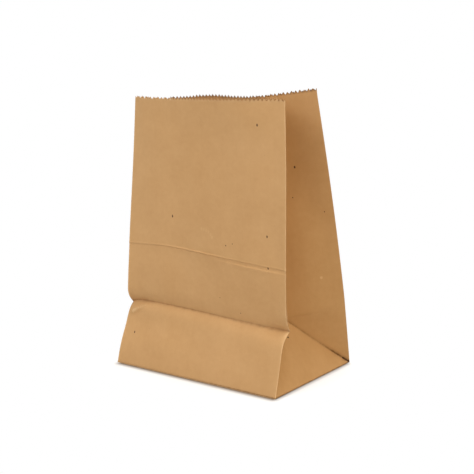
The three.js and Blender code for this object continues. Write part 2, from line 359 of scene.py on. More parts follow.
def waves(u, v, seed, reach, count=12):  # a sum of cosines of seeded directions, lengths and phases
    draw = np.random.default_rng(seed)
    turn, phase = draw.uniform(0, np.pi, count), draw.uniform(0, 2 * np.pi, count)
    length = reach * draw.uniform(0.7, 1.8, count)
    total = sum(
        np.cos(2 * np.pi * (u * np.cos(t) + v * np.sin(t)) / k + p) for t, k, p in zip(turn, length, phase)
    )
    return total / np.sqrt(count / 2)


def wrinkle(a, b, start, end, width, height):  # a rounded rise along a straight line, tapering to its ends
    way = np.array(end) - np.array(start)
    share = np.clip(((a - start[0]) * way[0] + (b - start[1]) * way[1]) / (way @ way), 0, 1)
    off = np.hypot(a - start[0] - share * way[0], b - start[1] - share * way[1])
    return height * swell(off / width) * (1 - creases["taper"] * np.abs(2 * share - 1))


# How the paper is creased and dented, in metres out of the surface
creases = {
    "billow": 0.00035,
    "billowReach": 0.07,
    "rustle": 0.00007,
    "rustleReach": 0.022,
    "fromFold": 0.012,
    "fromFloor": 0.02,
    "imprintTop": 0.097,  # where the base's edge was pressed on the front panel while the bag lay flat
    "imprintAt": -0.037,
    "imprintFall": 0.062,
    "imprintEase": 0.010,
    "imprintRidge": 0.00060,  # the upper line stands out
    "imprintAbove": 0.0009,
    "imprintSet": 0.00036,  # below it the panel is set in
    "imprintBelow": 0.0010,
    "imprintFromFloor": 0.01,
    "ridgeEnds": 0.25,  # the share of the upper line's height that is left at its ends
    "ridgeMiddle": -0.006,
    "ridgeReach": 0.05,
    "settleRun": 0.022,
    "ledgeBelow": 0.0034,  # the second line, where the +X half comes out again
    "ledgeHeight": 0.00042,
    "ledgeRun": 0.0010,
    "ledgeFade": 4,  # how many times more slowly it ends below
    "ledgeFrom": 0.008,
    "ledgeBlend": 0.016,
    "ledgeMiddle": 0.045,
    "ledgeReach": 0.034,
    # Wrinkles beside the pinch's ends, as x and z from and to, half width and height
    "wrinkles": [
        ((-0.0715, 0.0395), (-0.058, 0.0462), 0.0022, 0.0014),
        ((-0.0700, 0.0355), (-0.060, 0.0405), 0.0030, -0.0003),
        ((-0.077, 0.0490), (-0.050, 0.0560), 0.0050, 0.0005),
        ((0.060, 0.0500), (0.077, 0.0470), 0.0022, 0.0003),
    ],
    "taper": 0.6,  # the share of a wrinkle's height that is lost at its ends
    "gussetRidge": 0.0030,
    "frontRidgeAt": 0.55,  # the ridge's share of the way round a gusset's front and rear half
    "rearRidgeAt": 0.45,
    "ridgeBlunt": 0.12,
    "bluntReach": 0.16,
    "ridgeStart": (0.022, 0.035),  # where it begins, and how far it takes
    "ridgeStop": (0.085, 0.055),
    "gussetDip": 0.0016,
    "dipAt": 0.152,
    "dipReach": 0.034,
    "rearGroove": 0.0007,  # the gusset's rear diagonal fold is tucked in, most at the corner
    "grooveWidth": 0.0010,
    "grooveOver": 0.0005,
    "grooveLeft": 0.35,
    "grooveRun": 0.5,
    "grooveFromFloor": 0.004,
}


def frontRelief(x, z):  # the imprint's ridge, the panel set in below it, the second line, and the wrinkles
    line = creases["imprintTop"] - creases["imprintFall"] * np.hypot(x - creases["imprintAt"], creases["imprintEase"])
    below = line - z
    rightHalf = climb(x, creases["ledgeFrom"], creases["ledgeBlend"])
    down = smooth(below / creases["imprintBelow"])
    settled = 1 - climb(below, creases["imprintBelow"], creases["settleRun"])
    ledgeOff = (below - creases["ledgeBelow"]) / creases["ledgeRun"]
    upper, lower = smooth(ledgeOff + 1), 1 - smooth(ledgeOff / creases["ledgeFade"])
    middle = swell((x - creases["ridgeMiddle"]) / creases["ridgeReach"])
    ridge = creases["imprintRidge"] * lerp(creases["ridgeEnds"], 1, middle)
    height = ridge * (1 - smooth(-below / creases["imprintAbove"])) * (1 - down)
    height -= creases["imprintSet"] * down * lerp(settled, 1 - upper, rightHalf)
    height += creases["ledgeHeight"] * swell((x - creases["ledgeMiddle"]) / creases["ledgeReach"]) * upper * lower
    for start, end, width, rise in creases["wrinkles"]:
        height += wrinkle(x, z, start, end, width, rise)
    return height


def gussetRelief(along, z, leg):  # up each half a soft ridge, and a dip above it: a tent with its top rounded
    top = creases["rearRidgeAt"] if leg in (2, 4) else creases["frontRidgeAt"]
    tent = np.where(along < top, along / top, (1 - along) / (1 - top))
    tent -= creases["ridgeBlunt"] * swell((along - top) / creases["bluntReach"])
    ridge = creases["gussetRidge"] * climb(z, *creases["ridgeStart"]) * (1 - climb(z, *creases["ridgeStop"]))
    return tent * (ridge - creases["gussetDip"] * swell((z - creases["dipAt"]) / creases["dipReach"]))


def rearDiagonal():  # 1 on the fold from the gusset's apex down to the rear corner, falling off as a bell
    level = np.clip((nominalZ - baseHeight) / (bag["footTop"] - baseHeight), 0, 1)[:, None]
    toApex = np.where(columnLeg == 4, columnShare, 1 - columnShare)[None, :]
    off = np.abs(toApex - level) * bag["footTop"] * np.sqrt(0.5)
    inFoot = ((nominalZ > 0) & (nominalZ < bag["footTop"] + creases["grooveOver"]))[:, None]
    bell = bellAt(off, creases["grooveWidth"]) * np.isin(columnLeg, (2, 4))[None, :] * inFoot
    return bell * lerp(1, creases["grooveLeft"], smooth(level / creases["grooveRun"]))


rearCrease = rearDiagonal()


def relief(points):  # the height of the whole sheet's unevenness
    around, up = np.broadcast_arrays(aroundAt[None, :], nominalZ[:, None])
    calm = smooth(foldAt / creases["fromFold"])[None, :]
    billow = creases["billow"] * waves(around, up, 5, creases["billowReach"])
    rustle = creases["rustle"] * waves(around, up, 9, creases["rustleReach"])
    height = (billow + rustle) * calm * smooth(up / creases["fromFloor"])
    front = columnLeg == 0
    frontHeight = frontRelief(points[:, front, 0], points[:, front, 2])
    height[:, front] += frontHeight * smooth(up[:, front] / creases["imprintFromFloor"])
    for leg in (1, 2, 4, 5):
        part = columnLeg == leg
        height[:, part] += gussetRelief(columnShare[None, part], up[:, part], leg)
    return height - creases["rearGroove"] * rearCrease * smooth(up / creases["grooveFromFloor"])


tube = roundFolds(turned(tube))
outward = gridNormals(tube)
tube = tube + outward * relief(tube)[..., None]

# Teeth stand a little in or out
lean = np.random.default_rng(8).normal(0, 1, columnCount) * toothShare
tube[-1] += outward[-1] * (rim["curl"] * lean)[:, None]

# The seam: the outer layer starts at the cut edge, lies on the inner one for the lap, and settles beyond it
backColumns = columnLeg == 3
lapShare = (columnShare - seamCut) / (seamEnd - seamCut)
lapOn = backColumns & (lapShare >= -1e-6)
lift = np.where(lapOn, np.clip(2 - lapShare, 0, 1), 0) * paper
insideLift = np.where(backColumns & (lapShare >= 1 - 1e-6), lift, 0)
onWall = (np.arange(rowCount) >= ringCount)[:, None]
cockle = np.where(lapOn & (lapShare < 1), np.sin(np.pi * np.clip(lapShare, 0, 1)), 0)[None, :]
cockle = cockle * seam["ripple"] * (1 + waves(aroundAt[None, :], nominalZ[:, None], 21, seam["rippleReach"]))

# Faces: two triangles for each cell of the grid, and a cap on the base's middle line
cellRow, cellColumn = np.meshgrid(np.arange(rowCount - 1), np.arange(columnCount), indexing="ij")
nextColumn = (cellColumn + 1) % columnCount
a, b = cellRow * columnCount + cellColumn, cellRow * columnCount + nextColumn
c, d = b + columnCount, a + columnCount
falling = np.isin(columnLeg[cellColumn], (2, 5))
first = np.where(falling[..., None], np.stack([a, b, d], -1), np.stack([a, b, c], -1))
second = np.where(falling[..., None], np.stack([b, c, d], -1), np.stack([a, c, d], -1))
wallFaces = np.stack([first, second], 2).reshape(-1, 3)
frontCount = len(sharesByLeg[0])
legIndex = np.concatenate([np.arange(len(s)) for s in sharesByLeg])
onLegs = [columnLeg == 0, columnLeg < 3, columnLeg == 3]
middleIndex = np.select(onLegs, [legIndex, frontCount, frontCount - legIndex], 0)
frontEnds = np.append(np.arange(frontCount), np.flatnonzero(columnLeg == 1)[0])
middleLine = tube[0, frontEnds] * np.array([1, 0, 1])
capA = rowCount * columnCount + middleIndex
capB = np.roll(capA, -1)
capC, capD = np.roll(np.arange(columnCount), -1), np.arange(columnCount)
capFaces = np.concatenate([np.stack([capA, capB, capC], -1)[capA != capB], np.stack([capA, capC, capD], -1)])
skinFaces = np.concatenate([wallFaces, capFaces])


def twoTriangles(a, b, c, d):  # four-sided cells, each cut from a to c
    return np.concatenate([np.stack([a, b, c], -1).reshape(-1, 3), np.stack([a, c, d], -1).reshape(-1, 3)])


def vertexNormals(points, faces):  # the sum of the faces' cross products, so large faces count more
    cross = np.cross(points[faces[:, 1]] - points[faces[:, 0]], points[faces[:, 2]] - points[faces[:, 0]])
    total = np.stack([
        sum(np.bincount(faces[:, k], cross[:, axis], len(points)) for k in range(3)) for axis in range(3)
    ], -1)
    return total / np.maximum(np.linalg.norm(total, axis=1, keepdims=True), 1e-15)


skin = np.concatenate([tube.reshape(-1, 3), middleLine])
skinNormals = vertexNormals(skin, skinFaces)
padding = np.zeros(len(middleLine))
outerLift = np.append(((lift[None, :] + cockle) * onWall).ravel(), padding)
innerLift = np.append(((insideLift[None, :] + cockle) * onWall).ravel(), padding)
earLayer = np.append(np.where(onWall, 0, np.isin(columnLeg, (1, 2, 4, 5))[None, :] * paper).ravel(), padding)
outerSkin = skin + skinNormals * outerLift[:, None]
innerSkin = skin + skinNormals * (innerLift - paper)[:, None]
innerSkin[:, 2] += earLayer  # the folded-in ends of the gussets lie on the flaps inside the bag
skinSize = len(skin)
rimOuter = (rowCount - 1) * columnCount + np.arange(columnCount)
rimNext = np.roll(rimOuter, -1)
rimFaces = twoTriangles(rimOuter, rimNext, rimNext + skinSize, rimOuter + skinSize)
sheetPoints = np.concatenate([outerSkin, innerSkin])
sheetFaces = np.concatenate([skinFaces, skinFaces[:, ::-1] + skinSize, rimFaces])
sheetParts = np.repeat([0, 1, 2], [len(skinFaces), len(skinFaces), len(rimFaces)])
print("sheet shaped:", len(sheetFaces), "triangles")

# Where parts lie on the unfolded sheet's map, so that each shows paper of its own
mapAt = {"base": (0.25, -0.2), "inside": 0.7, "flaps": (0.25, -0.5), "flapsApart": 0.2}


def sheetMap(points, faces):  # the unfolded sheet: distance round the tube and along it, the base by itself
    flat = np.stack(np.broadcast_arrays(aroundAt[None, :], nominalZ[:, None]), -1).reshape(-1, 2)
    flat = np.tile(np.concatenate([flat, np.zeros((len(middleLine), 2))]), (2, 1))
    uv = flat[faces]
    wrapped = (np.ptp(uv[..., 0], axis=1) > girth / 2)[:, None] & (uv[..., 0] < girth / 2)
    uv[..., 0] += girth * wrapped
    onBase = ((faces % skinSize < ringCount * columnCount) | (faces % skinSize >= rowCount * columnCount)).any(1)
    uv[onBase] = points[faces[onBase]][..., :2] + np.array(mapAt["base"])
    uv[(faces >= skinSize).all(1), :, 0] += mapAt["inside"]
    return uv


def addObject(name, data):
    made = bpy.data.objects.new(name, data)
    bpy.context.collection.objects.link(made)
    return made


def makePiece(name, points, faces, parts, uv, marks, materials):  # parts number each face's material
    mesh = bpy.data.meshes.new(name)
    mesh.from_pydata(points, [], faces)
    for material in materials:
        mesh.materials.append(material)
    mesh.polygons.foreach_set("material_index", parts.astype(np.int32))
    layer = mesh.uv_layers.new(name="sheet")
    layer.uv.foreach_set("vector", uv.reshape(-1).astype(np.float32))
    for mark, values in marks.items():
        mesh.attributes.new(mark, "FLOAT", "POINT").data.foreach_set("value", values.astype(np.float32))
    mesh.polygons.foreach_set("use_smooth", np.ones(len(faces), bool))
    mesh.set_sharp_from_angle(angle=np.radians(weave["sharpFrom"]))
    mesh.update()
    return addObject(name, mesh)


# Where the paper is worn its ridges are rubbed light, with a painted highlight at the pinch's +X end; its valleys are
# dark, mostly as painted shade, and the tips of its teeth are dark, partly the cut edge's tone and partly painted
# shade
marksAt = {
    "ridge": 0.0007,
    "valley": 0.0008,
    "seam": 0.0004,
    "seamShare": 0.8,
    "rearRidge": 0.3,  # the folds behind are rubbed less
    "middleRun": 0.01,
    "pinchEnd": 0.0425,  # a patch at the pinch's +X end, rubbed pale and painted with a highlight
    "pinchEndUp": 0.0050,
    "pinchEndAround": 0.0045,
    "pinchEndShare": 0.8,
    # footLine: the foot's lowest edge is darkened as a painted contact shadow, more so towards the rear corner
    "footLine": 0.0003,
    "footLineReach": 0.0006,
    "footLineLeft": 0.8,
    "footLineMore": 1.6,  # darker by this from the front's middle on round to the rear corner
    "footLineFrom": 0.05,
    "footLineRun": 0.08,
    "rearCrease": 4.0,
    "rearCreaseGrowth": 1.5,
    "notch": 0.6,  # how dark the rim is in its notches, where a tooth's tip is 1
    "frontTips": 0.15,  # the front panel's teeth are rubbed light outside
    "frontTipsPale": 0.7,
    "frontTipsInside": 0.4,
}
cornerFolds = np.array([0, legStart[1], legStart[3], legStart[4], girth])
middleFolds = np.array([legStart[2], legStart[5]])
toCorner = np.abs(aroundAt[:, None] - cornerFolds).min(1)
toMiddle = np.abs(aroundAt[:, None] - middleFolds).min(1)
fullGrid = np.ones((rowCount, columnCount))
rearward = np.where((aroundAt > legStart[2]) & (aroundAt <= legStart[5]), marksAt["rearRidge"], 1.0)
cornerRidge = (bellAt(toCorner, marksAt["ridge"]) * rearward)[None, :] * fullGrid
middleRidge = bellAt(toMiddle, marksAt["ridge"])[None, :] * climb(nominalZ, apexZ, marksAt["middleRun"])[:, None]
# A painted highlight, with some wear, at the pinch's +X end
highlightUp = swell((nominalZ - marksAt["pinchEnd"]) / marksAt["pinchEndUp"])[:, None]
wornHighlightEnd = highlightUp * swell((aroundAt - legStart[1]) / marksAt["pinchEndAround"])[None, :]
# The pinch, and the creases that run from its ends over the gussets' front halves to the apexes, darkened as painted
# shade
pinch = bellAt(nominalZ - bag["footTop"], marksAt["valley"])[:, None] * np.isin(columnLeg, (0, 1, 5))[None, :]
# The foot's lowest edge, darkened as a painted contact shadow
footLine = bellAt(nominalZ - marksAt["footLine"], marksAt["footLineReach"])[:, None] * fullGrid
footLineMore = climb(aroundAt, marksAt["footLineFrom"], marksAt["footLineRun"]) * (aroundAt < legStart[3])
footLine = footLine * (marksAt["footLineLeft"] + marksAt["footLineMore"] * footLineMore)[None, :]
seamLine = bellAt(aroundAt - legStart[3] - seam["fromCorner"], marksAt["seam"])[None, :] * onWall
# The slit along the rear diagonal fold is darkened as a painted shadow, turning black near the corner
rearLine = marksAt["rearCrease"] * rearCrease ** marksAt["rearCreaseGrowth"]
# The teeth are darkened towards their tips, partly the cut edge's own tone and partly painted shade
tips = np.zeros((rowCount, columnCount))
tips[-1] = lerp(marksAt["notch"], 1, toothShare)
tipsOutside = np.where(columnLeg == 0, marksAt["frontTips"], 1.0)[None, :]
tipsInside = np.where(np.isin(columnLeg, (0, 1, 5)), marksAt["frontTipsInside"], 1.0)[None, :]
palerTips = marksAt["frontTipsPale"] * tips * (1 - tipsOutside)
scattered = fullGrid * ~np.isin(columnLeg, (0, 1, 2))[None, :]  # the sides seen have shives of their own


def bothSkins(outer, inner):
    return np.concatenate([outer.ravel(), padding, inner.ravel(), padding])


sheetMarks = {
    "ridge": bothSkins(np.maximum.reduce([cornerRidge, marksAt["pinchEndShare"] * wornHighlightEnd, palerTips]), middleRidge),
    # Outside, the pinch, the gussets' middle folds, the rear slit and the foot's edge are darkened as painted shade,
    # the seam's cut edge as a dark line of its own; inside, the corner folds are darkened as painted shade
    "valley": bothSkins(
        np.maximum.reduce([pinch, middleRidge, rearLine, footLine, marksAt["seamShare"] * seamLine]), cornerRidge
    ),
    "tip": bothSkins(tips * tipsOutside, tips * tipsInside),
    "scatter": bothSkins(scattered, fullGrid),
}

# Colours are linear
kraft = {
    "pale": (0.655, 0.392, 0.180),
    "deep": (0.515, 0.283, 0.110),
    # pale wear on ridges, and painted highlights
    "wornAndHighlight": (0.80, 0.55, 0.30),
    # the dark of valleys and of the teeth's tips, mostly painted shade
    "crease": (0.20, 0.09, 0.03),
    "shive": (0.055, 0.024, 0.010),
    "roughness": 0.74,
    "roughnessSpread": 0.05,
    "toneRange": (0.3, 0.7),  # paler pulp is smoother
    "specular": 0.3,
    "bumpStrength": 0.5,
    "bits": {"Cell": 70.0, "Rarity": 0.93},
    "flecks": {"Cell": 260.0, "Rarity": 0.9},
    # The share of each mark's colour
    "valleyShare": 0.5,
    "blackFrom": 1.4,  # a valley's strength where its painted shade begins to turn black, and where it is
    "blackTo": 2.8,
    "fleckShare": 0.35,
    "bitShare": 0.92,
    "paleShare": 0.5,
    "tipShare": 0.95,
}
# Dark shives seen on the front and the right side: place on the bag and radius
shives = [
    ((0.0530, -0.0407, 0.1910), 0.00085),
    ((-0.0284, -0.0376, 0.1198), 0.00090),
    ((0.0598, -0.0388, 0.1124), 0.00080),
    ((0.0610, -0.0395, 0.0898), 0.00080),
    ((-0.0641, -0.0444, 0.0248), 0.00075),
    ((0.0237, -0.0396, 0.1025), 0.00050),
    ((0.0297, -0.0396, 0.1043), 0.00040),
    ((0.0168, -0.0382, 0.0624), 0.00035),
    ((0.0350, -0.0372, 0.0529), 0.00040),
    ((0.0536, 0.0067, 0.1577), 0.00085),
    ((0.0699, 0.0230, 0.1236), 0.00050),
    ((0.0512, 0.0078, 0.1346), 0.00045),
    ((0.0540, -0.0031, 0.0297), 0.00065),
]
paleBits = [((0.0658, 0.0254, 0.0721), 0.00100, 1.0)]  # these have a strength too
# A short curved painted highlight on the front panel, where a small wrinkle catches the light
wrinkleHighlight = {
    "y": -0.0387,
    "radius": 0.00125,
    "strength": 0.28,
    "line": [
        (0.0010, 0.1131), (0.0032, 0.1127), (0.0055, 0.1121), (0.0077, 0.1111), (0.0096, 0.1095), (0.0110, 0.1075),
    ],
}
paleBits += [((x, wrinkleHighlight["y"], z), wrinkleHighlight["radius"], wrinkleHighlight["strength"]) for x, z in wrinkleHighlight["line"]]
# The wrinkle below the pinch's -X end carries a painted highlight, less and less towards the middle
rubbedAndHighlight = {
    "from": np.array([-0.0702, -0.0385, 0.0403]),
    "to": np.array([-0.0580, -0.0371, 0.0461]),
    "radius": (0.0014, 0.0007),
    "strength": (0.95, 0.35),
    "bits": 9,
}
for share in np.linspace(0, 1, rubbedAndHighlight["bits"]):
    place = tuple(lerp(rubbedAndHighlight["from"], rubbedAndHighlight["to"], share))
    paleBits.append((place, lerp(*rubbedAndHighlight["radius"], share), lerp(*rubbedAndHighlight["strength"], share)))


def addNode(tree, kind, inputs=None, **settings):
    made = tree.nodes.new(kind)
    for key, value in settings.items():
        setattr(made, key, value)
    for key, value in (inputs or {}).items():
        if isinstance(value, bpy.types.NodeSocket):
            tree.links.new(value, made.inputs[key])
        else:
            made.inputs[key].default_value = value
    return made


def math(tree, operation, first, second=0.5, third=0.0, clamp=False):
    made = addNode(tree, "ShaderNodeMath", {0: first, 1: second, 2: third}, operation=operation, use_clamp=clamp)
    return made.outputs[0]


def spread(tree, value, low, high, toLow=0.0, toHigh=1.0):
    made = addNode(
        tree, "ShaderNodeMapRange",
        {"Value": value, "From Min": low, "From Max": high, "To Min": toLow, "To Max": toHigh},
        interpolation_type="SMOOTHSTEP",
    )
    return made.outputs["Result"]


def mixColour(tree, share, first, second, blend="MIX"):
    first, second = ((*value, 1) if isinstance(value, tuple) else value for value in (first, second))
    inputs = {0: share, 6: first, 7: second}  # the colour sockets' own numbers
    return addNode(tree, "ShaderNodeMix", inputs, data_type="RGBA", blend_type=blend).outputs[2]


def newGroup(name, inputs, outputs):
    tree = bpy.data.node_groups.new(name, "ShaderNodeTree")
    for label, kind, value in inputs:
        socket = tree.interface.new_socket(name=label, in_out="INPUT", socket_type=kind)
        if value is not None:
            socket.default_value = value
    for label, kind in outputs:
        tree.interface.new_socket(name=label, in_out="OUTPUT", socket_type=kind)
    return tree, tree.nodes.new("NodeGroupInput"), tree.nodes.new("NodeGroupOutput")


def vectorMath(tree, operation, first, second=(0, 0, 0), output="Vector"):
    return addNode(tree, "ShaderNodeVectorMath", {0: first, 1: second}, operation=operation).outputs[output]


def scaled(tree, vector, scale):
    return vectorMath(tree, "MULTIPLY", vector, scale)


def noise(tree, vector, scale, detail, roughness=0.55):  # a scale of three numbers stretches the cells
    if isinstance(scale, tuple):
        vector, scale = scaled(tree, vector, scale), 1
    made = addNode(
        tree, "ShaderNodeTexNoise",
        {"Vector": vector, "Scale": scale, "Detail": detail, "Roughness": roughness},
    )
    return made.outputs["Fac"]


# Paper formation: cloudy pulp, long fibres lying mostly up the tube, faint machine streaks and a slow drift of tone
grain = {
    # Cells per metre, where there are three round the tube, along it and through it; detail and roughness
    "clouds": (55, 5, 0.6),
    "flocks": (260, 4, 0.6),
    "fibres": ((2600, 420, 1), 3, 0.6),
    "crossFibres": ((700, 1900, 1), 3, 0.6),
    "streaks": ((900, 9, 1), 2, 0.5),
    "drift": ((16, 9, 1), 3, 0.5),
    "cloudShare": 0.55,
    "flockShare": 0.35,
    "streakShare": 0.10,
    "driftShare": 0.45,
    "fibreShare": 0.6,
    "crossShare": 0.4,
    "fineShare": 0.35,
    "flockHeight": 0.4,
}
pulpGroup, pulpIn, pulpOut = newGroup(
    "paperPulp",
    [("Sheet", "NodeSocketVector", None), ("Cloudiness", "NodeSocketFloat", 1.0), ("Fibre", "NodeSocketFloat", 1.0)],
    [("Tone", "NodeSocketFloat"), ("Height", "NodeSocketFloat")],
)
clouds, flocks, fibres, crossFibres, streaks, drift = (
    noise(pulpGroup, pulpIn.outputs["Sheet"], *grain[name])
    for name in ("clouds", "flocks", "fibres", "crossFibres", "streaks", "drift")
)


def fromMiddle(value):  # every noise lies round a half
    return math(pulpGroup, "SUBTRACT", value, 0.5)


broad = math(pulpGroup, "MULTIPLY", flocks, grain["flockShare"])
broad = math(pulpGroup, "MULTIPLY_ADD", clouds, grain["cloudShare"], broad)
broad = math(pulpGroup, "MULTIPLY_ADD", streaks, grain["streakShare"], broad)
broad = math(pulpGroup, "MULTIPLY_ADD", fromMiddle(drift), grain["driftShare"], broad)
broad = math(pulpGroup, "MULTIPLY", fromMiddle(broad), pulpIn.outputs["Cloudiness"])
fine = math(pulpGroup, "MULTIPLY", crossFibres, grain["crossShare"])
fine = math(pulpGroup, "MULTIPLY_ADD", fibres, grain["fibreShare"], fine)
fineTone = math(pulpGroup, "MULTIPLY", fromMiddle(fine), pulpIn.outputs["Fibre"])
tone = math(pulpGroup, "MULTIPLY_ADD", fineTone, grain["fineShare"], math(pulpGroup, "ADD", broad, 0.5))
pulpGroup.links.new(tone, pulpOut.inputs["Tone"])
pulpGroup.links.new(math(pulpGroup, "MULTIPLY_ADD", flocks, grain["flockHeight"], fine), pulpOut.inputs["Height"])

# Shives: scattered bits of bark, in a sparse choice of cells of the sheet
bark = {
    "wobble": 1500,
    "stretch": (1, 0.7, 1),
    "radius": (0.03, 0.012),  # what the draw adds at most, and the least
    "outline": (1.6, 0.2),
    "strength": (0.6, 0.4),
}
shiveGroup, shiveIn, shiveOut = newGroup(
    "barkShives",
    [("Sheet", "NodeSocketVector", None), ("Cell", "NodeSocketFloat", 80.0), ("Rarity", "NodeSocketFloat", 0.9)],
    [("Mask", "NodeSocketFloat")],
)
wobble = noise(shiveGroup, shiveIn.outputs["Sheet"], bark["wobble"], 2)
cells = addNode(
    shiveGroup, "ShaderNodeTexVoronoi",
    {"Vector": scaled(shiveGroup, shiveIn.outputs["Sheet"], bark["stretch"]), "Scale": shiveIn.outputs["Cell"]},
    voronoi_dimensions="2D",
)
chance = addNode(shiveGroup, "ShaderNodeSeparateColor", {"Color": cells.outputs["Color"]})
chosen = math(shiveGroup, "GREATER_THAN", chance.outputs[0], shiveIn.outputs["Rarity"])
radius = math(shiveGroup, "MULTIPLY_ADD", chance.outputs[1], *bark["radius"])
radius = math(shiveGroup, "MULTIPLY", radius, math(shiveGroup, "MULTIPLY_ADD", wobble, *bark["outline"]))
inBit = math(shiveGroup, "LESS_THAN", cells.outputs["Distance"], radius)
strength = math(shiveGroup, "MULTIPLY_ADD", chance.outputs[2], *bark["strength"])
bits = math(shiveGroup, "MULTIPLY", math(shiveGroup, "MULTIPLY", inBit, chosen), strength)
shiveGroup.links.new(bits, shiveOut.inputs["Mask"])

# The bits that the front and the right side show, each at its own place
placedBits = {
    "wobble": 1800,
    "stretch": (1.25, 0.5, 0.8),
    "outline": (0.9, 0.6),  # what the noise adds at most, and the least
    "edge": (0.7, 1.15),  # radii between which a bit fades out
}
placedGroup, placedIn, placedOut = newGroup(
    "placedShives",
    [("Place", "NodeSocketVector", None)],
    [("Mask", "NodeSocketFloat"), ("Pale", "NodeSocketFloat")],
)
placedWobble = noise(placedGroup, placedIn.outputs["Place"], placedBits["wobble"], 2)
outline = math(placedGroup, "MULTIPLY_ADD", placedWobble, *placedBits["outline"])


def bitsAt(places):  # each place's distance as a spot that fades out at its radius, and the strongest of the spots
    mask = 0.0
    fadeFrom, fadeTo = placedBits["edge"]
    for place, size, *strength in places:
        away = vectorMath(placedGroup, "SUBTRACT", placedIn.outputs["Place"], place)
        away = vectorMath(placedGroup, "LENGTH", scaled(placedGroup, away, placedBits["stretch"]), output="Value")
        away = math(placedGroup, "MULTIPLY", away, outline)
        spot = spread(placedGroup, away, size * fadeFrom, size * fadeTo, strength[0] if strength else 1.0, 0.0)
        mask = math(placedGroup, "MAXIMUM", mask, spot)
    return mask


placedGroup.links.new(bitsAt(shives), placedOut.inputs["Mask"])
# the pale spots are mostly painted highlights
placedGroup.links.new(bitsAt(paleBits), placedOut.inputs["Pale"])

# Rubbed ridges, with a painted highlight among them, and valleys darkened as painted shade, broken up along the fold
patches = {"cells": 240, "from": 0.3, "to": 0.75, "least": 0.45}
wearShadeGroup, wearShadeIn, wearShadeOut = newGroup(
    "foldWearAndShade", [("Sheet", "NodeSocketVector", None)], [("Ridge", "NodeSocketFloat"), ("Valley", "NodeSocketFloat")]
)
patchy = noise(wearShadeGroup, wearShadeIn.outputs["Sheet"], patches["cells"], 3)
patchy = spread(wearShadeGroup, patchy, patches["from"], patches["to"], patches["least"], 1.0)


def markOf(tree, name):
    return addNode(tree, "ShaderNodeAttribute", attribute_name=name).outputs["Fac"]


for mark, output in (("ridge", "Ridge"), ("valley", "Valley")):
    wearShadeGroup.links.new(math(wearShadeGroup, "MULTIPLY", markOf(wearShadeGroup, mark), patchy), wearShadeOut.inputs[output])


def emptyTree(owner):  # of a material or the world
    owner.use_nodes = True
    owner.node_tree.nodes.clear()
    return owner.node_tree


def kraftMaterial(name, grainShare, wearAndHighlight, bumpDepth, rougher, tint):
    material = bpy.data.materials.new(name)
    tree = emptyTree(material)
    sheet = addNode(tree, "ShaderNodeUVMap", uv_map="sheet").outputs["UV"]
    place = addNode(tree, "ShaderNodeTexCoord").outputs["Object"]

    def effect(group, **inputs):
        return addNode(tree, "ShaderNodeGroup", inputs, node_tree=group).outputs

    def part(mark, share, clamp=False):
        return math(tree, "MULTIPLY", mark, share, clamp=clamp)

    pulp = effect(pulpGroup, Sheet=sheet, Cloudiness=grainShare, Fibre=grainShare)
    bits = effect(shiveGroup, Sheet=sheet, **kraft["bits"])
    flecks = effect(shiveGroup, Sheet=sheet, **kraft["flecks"])
    placed = effect(placedGroup, Place=place)
    folds = effect(wearShadeGroup, Sheet=sheet)
    dark = math(tree, "MAXIMUM", part(bits["Mask"], markOf(tree, "scatter")), placed["Mask"])
    layers = [  # laid on from the first to the last
        # the ridges' pale wear carries painted highlights too; the valleys and tips below are painted shade for the
        # most part
        (part(folds["Ridge"], wearAndHighlight), "wornAndHighlight"),
        (part(folds["Valley"], kraft["valleyShare"], clamp=True), "crease"),
        (spread(tree, folds["Valley"], kraft["blackFrom"], kraft["blackTo"]), "shive"),
        (part(flecks["Mask"], kraft["fleckShare"]), "shive"),
        (part(dark, kraft["bitShare"]), "shive"),
        (part(placed["Pale"], kraft["paleShare"]), "wornAndHighlight"),
        (part(markOf(tree, "tip"), kraft["tipShare"]), "crease"),
    ]
    colour = mixColour(tree, pulp["Tone"], kraft["deep"], kraft["pale"])
    for share, tone in layers:
        colour = mixColour(tree, share, colour, kraft[tone])
    colour = mixColour(tree, 1.0, colour, tint, "MULTIPLY")
    roughness, swing = kraft["roughness"] + rougher, kraft["roughnessSpread"]
    bump = addNode(tree, "ShaderNodeBump", {
        "Strength": kraft["bumpStrength"],
        "Distance": bumpDepth,
        "Height": pulp["Height"],
    })
    shader = addNode(tree, "ShaderNodeBsdfPrincipled", {
        "Base Color": colour,
        "Roughness": spread(tree, pulp["Tone"], *kraft["toneRange"], roughness + swing, roughness - swing),
        "Normal": bump.outputs["Normal"],
        "Specular IOR Level": kraft["specular"],
    })
    addNode(tree, "ShaderNodeOutputMaterial", {"Surface": shader.outputs[0]})
    return material


# The sheet's smooth outside, its rougher inside, tinted darker and redder as painted shade, and its cut edge
kraftSides = {
    "kraftOutside": {"grainShare": 1.0, "wearAndHighlight": 0.85, "bumpDepth": 0.00006, "rougher": 0, "tint": (1, 1, 1)},
    "kraftInsideShaded": {"grainShare": 1.2, "wearAndHighlight": 0.3, "bumpDepth": 0.00009, "rougher": 0.08, "tint": (0.94, 0.90, 0.86)},
    "kraftCutEdge": {"grainShare": 1.0, "wearAndHighlight": 0.3, "bumpDepth": 0.00006, "rougher": 0.1, "tint": (1.08, 1.08, 1.08)},
}
kraftSlots = [kraftMaterial(name, **values) for name, values in kraftSides.items()]
print("materials made")

bagSheet = makePiece(
    "bag_sheet", sheetPoints, sheetFaces, sheetParts, sheetMap(sheetPoints, sheetFaces), sheetMarks, kraftSlots
)

# The two glued bottom flaps: trapezoids with 45 degree ends, as slabs over their plan
flaps = {
    "lap": 0.016,
    "settle": 0.014,  # beyond the lap, how far the back flap takes to come down to the floor
    "inset": 0.0002,
    "top": baseHeight + paper / 4,
    "cockle": 0.00003,
    "cockleReach": 0.02,
    "foldCurl": 0.4,  # how far the fold at the bag's edge is rounded, in thicknesses
    "rubbedAndHighlight": 0.5,
    # How many such parts make a flap's reach: the calm one beside its fold, the rounded one and the rubbed one
    "calmPart": 12,
    "curlPart": 60,
    "rubbedPart": 30,
    "cells": (120, 44),
}


